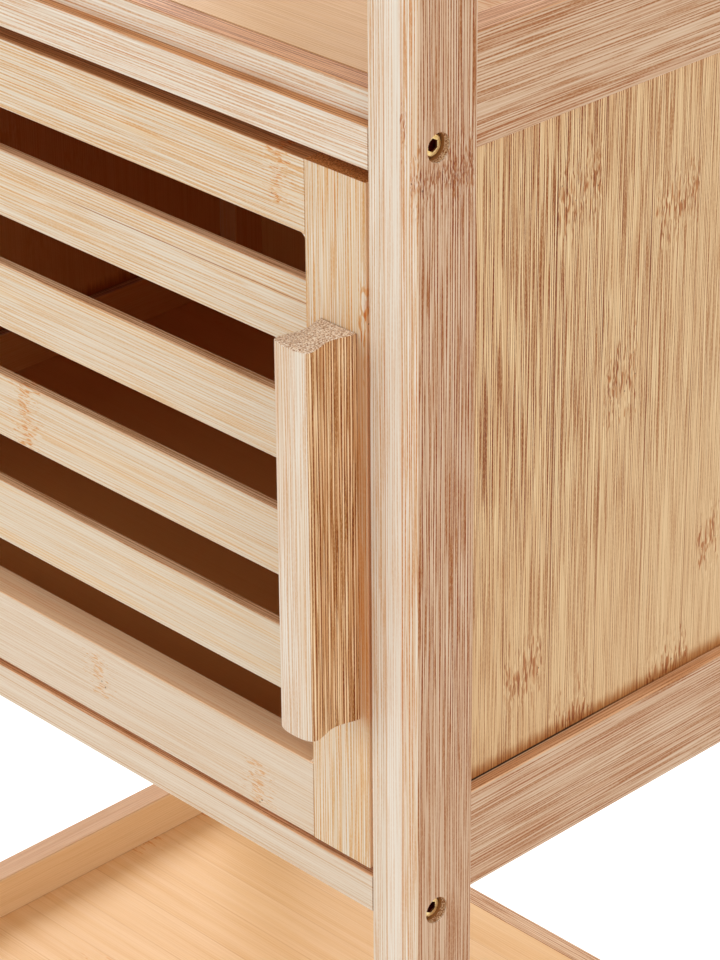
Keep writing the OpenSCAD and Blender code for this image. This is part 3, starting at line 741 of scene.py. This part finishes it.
def metal(name, base, worn, rough, socket=None):
    """Brushed metal; nearer to the unit's middle than socket, inside a bolt's hex, it has painted
    shade.
    """
    g = Surface(name)
    cloud = g.noise(g.place, 2.5, 1.0, 3.0, 0.6)
    brush = g.noise(g.place, 0.12, 12.0, 2.0)
    colour = g.ramp(cloud, (0.35, 0.6), (worn, base))
    if socket:
        depth = g.math("ABSOLUTE", g.axes[X])
        # Painted shade inside the hex socket
        colour = g.mix(g.step(depth, socket, socket - 0.25), colour, HEX_SHADE)
    gloss = g.plus(g.times(brush, 0.2), rough)
    return g.finish(Base_Color=colour, Metallic=1.0, Roughness=gloss,
                    Normal=g.bump(brush, 0.00001, 0.3))


def plastic(name, base, low, rough):
    g = Surface(name)
    colour = g.ramp(g.noise(g.place, 4.0, 1.0, 2.0), (0.3, 0.7), (low, base))
    grain = g.noise(g.place, 0.22, 1.0, 2.0)
    gloss = g.plus(g.times(grain, 0.15), rough)
    return g.finish(Base_Color=colour, Roughness=gloss, Normal=g.bump(grain, 0.00002, 0.4))


yellow_zinc = metal("yellow_zinc", linear(244, 218, 160), linear(206, 168, 104), rough=0.22,
                    socket=bolts_high.x - 0.6)
zinc_thread = metal("zinc_thread", linear(214, 190, 120), linear(170, 140, 84), rough=0.3)
nickel = metal("nickel", linear(205, 203, 198), linear(176, 173, 166), rough=0.2)
ground_magnet = metal("ground_magnet", linear(92, 92, 95), linear(66, 66, 69), rough=0.4)
white_plastic = plastic("white_plastic", linear(236, 234, 228), linear(226, 223, 215),
                        rough=0.38)

finishes = {
    "frame_bolts": yellow_zinc, "threaded_inserts": zinc_thread, "catch_magnet": ground_magnet,
    "catch_body": white_plastic, "foot_glides": white_plastic,
}
for name in nodes:
    if name.startswith("hinge_") or name.endswith("_screws") or name == "strike_plate":
        finishes[name] = nickel
for name, material in finishes.items():
    wear(nodes[name], material)


# Floor, light and camera

WHITE = (1.0, 1.0, 1.0, 1.0)
FLOOR_HALF = 30.0
FLOOR_COLOUR, FLOOR_GLOW = (0.8, 0.8, 0.8, 1.0), 0.62
WORLD_LEVEL = 0.6
LAMP_TARGET = Vector((0.0, 0.0, 0.45))


def seen_rays(g):
    """1 for rays from the camera, and for those that metal and glass send on."""
    rays = g.add("LightPath").outputs
    total = g.plus(rays["Is Camera Ray"], rays["Is Glossy Ray"])
    return g.math("ADD", total, rays["Is Transmission Ray"], clamp=True)


def make_floor():
    half = FLOOR_HALF
    mesh = bpy.data.meshes.new("floor")
    mesh.from_pydata([(-half, -half, 0), (half, -half, 0), (half, half, 0), (-half, half, 0)],
                     [], [(0, 1, 2, 3)])
    floor = bpy.data.objects.new("floor", mesh)
    scene.collection.objects.link(floor)
    g = Graph(bpy.data.materials.new("floor"))
    seen = seen_rays(g)
    pale = g.add("BsdfDiffuse", {"Color": FLOOR_COLOUR})
    glow = g.add("Emission", {"Color": WHITE, "Strength": FLOOR_GLOW})
    lit = g.add("AddShader", {0: pale.outputs[0], 1: glow.outputs[0]})
    shown = g.add("MixShader", {0: seen, 1: pale.outputs[0], 2: lit.outputs[0]})
    g.add("OutputMaterial", {"Surface": shown.outputs[0]})
    wear(floor, g.owner)


def make_world():
    """White where it is seen, and dimmer as the light on the object."""
    scene.world = bpy.data.worlds.new("studio")
    g = Graph(scene.world)
    seen = seen_rays(g)
    dim = g.add("Background", {"Color": WHITE, "Strength": WORLD_LEVEL})
    white = g.add("Background", {"Color": WHITE, "Strength": 1.0})
    shown = g.add("MixShader", {0: seen, 1: dim.outputs[0], 2: white.outputs[0]})
    g.add("OutputWorld", {"Surface": shown.outputs[0]})


def direction(azimuth, elevation):
    """The way from the unit out, in degrees; azimuth 0 is in front of it, and 90 at its right."""
    turn, rise = math.radians(azimuth), math.radians(elevation)
    return Vector((math.sin(turn) * math.cos(rise), -math.cos(turn) * math.cos(rise),
                   math.sin(rise)))


def soft_light(name, azimuth, elevation, distance, size, watts):
    """A square lamp aimed at the cabinet."""
    way = direction(azimuth, elevation)
    lamp = bpy.data.lights.new(name, "AREA")
    lamp.size, lamp.energy = size, watts
    light = bpy.data.objects.new(name, lamp)
    light.location = LAMP_TARGET + way * distance
    light.rotation_mode = "QUATERNION"
    light.rotation_quaternion = way.to_track_quat("Z", "Y")
    light.visible_camera = False
    scene.collection.objects.link(light)


# The photograph's viewpoint, solved from the edges of the cabinet and the door: angles in
# degrees, the place in metres, and the focal length in pixels of the photograph's long side
CAMERA_AZIMUTH, CAMERA_ELEVATION, CAMERA_ROLL = 45.96, 27.77, -0.47
CAMERA_PLACE = Vector((0.91486, -0.85092, 1.01462))
FOCAL_PIXELS, LONG_SIDE_PIXELS = 3602.4, 960
SENSOR_WIDTH = 36.0


def make_camera():
    azimuth, roll = math.radians(CAMERA_AZIMUTH), math.radians(CAMERA_ROLL)
    back = direction(CAMERA_AZIMUTH, CAMERA_ELEVATION)
    level = Vector((math.cos(azimuth), math.sin(azimuth), 0.0))
    rise = back.cross(level)
    right = level * math.cos(roll) + rise * math.sin(roll)
    up = rise * math.cos(roll) - level * math.sin(roll)
    data = bpy.data.cameras.new("camera")
    data.sensor_width = SENSOR_WIDTH
    data.lens = FOCAL_PIXELS / LONG_SIDE_PIXELS * SENSOR_WIDTH
    data.clip_start, data.clip_end = 0.05, 100.0
    camera = bpy.data.objects.new("camera", data)
    scene.collection.objects.link(camera)
    turned = Matrix((right, up, back)).transposed().to_4x4()
    camera.matrix_world = Matrix.Translation(CAMERA_PLACE) @ turned
    scene.camera = camera


make_floor()
make_world()
soft_light("key", azimuth=-22.0, elevation=12.0, distance=2.4, size=1.5, watts=18.0)
soft_light("fill", azimuth=76.0, elevation=16.0, distance=2.6, size=1.6, watts=23.0)
soft_light("side", azimuth=-115.0, elevation=35.0, distance=2.6, size=1.5, watts=45.0)
make_camera()
scene.view_settings.view_transform = "Standard"
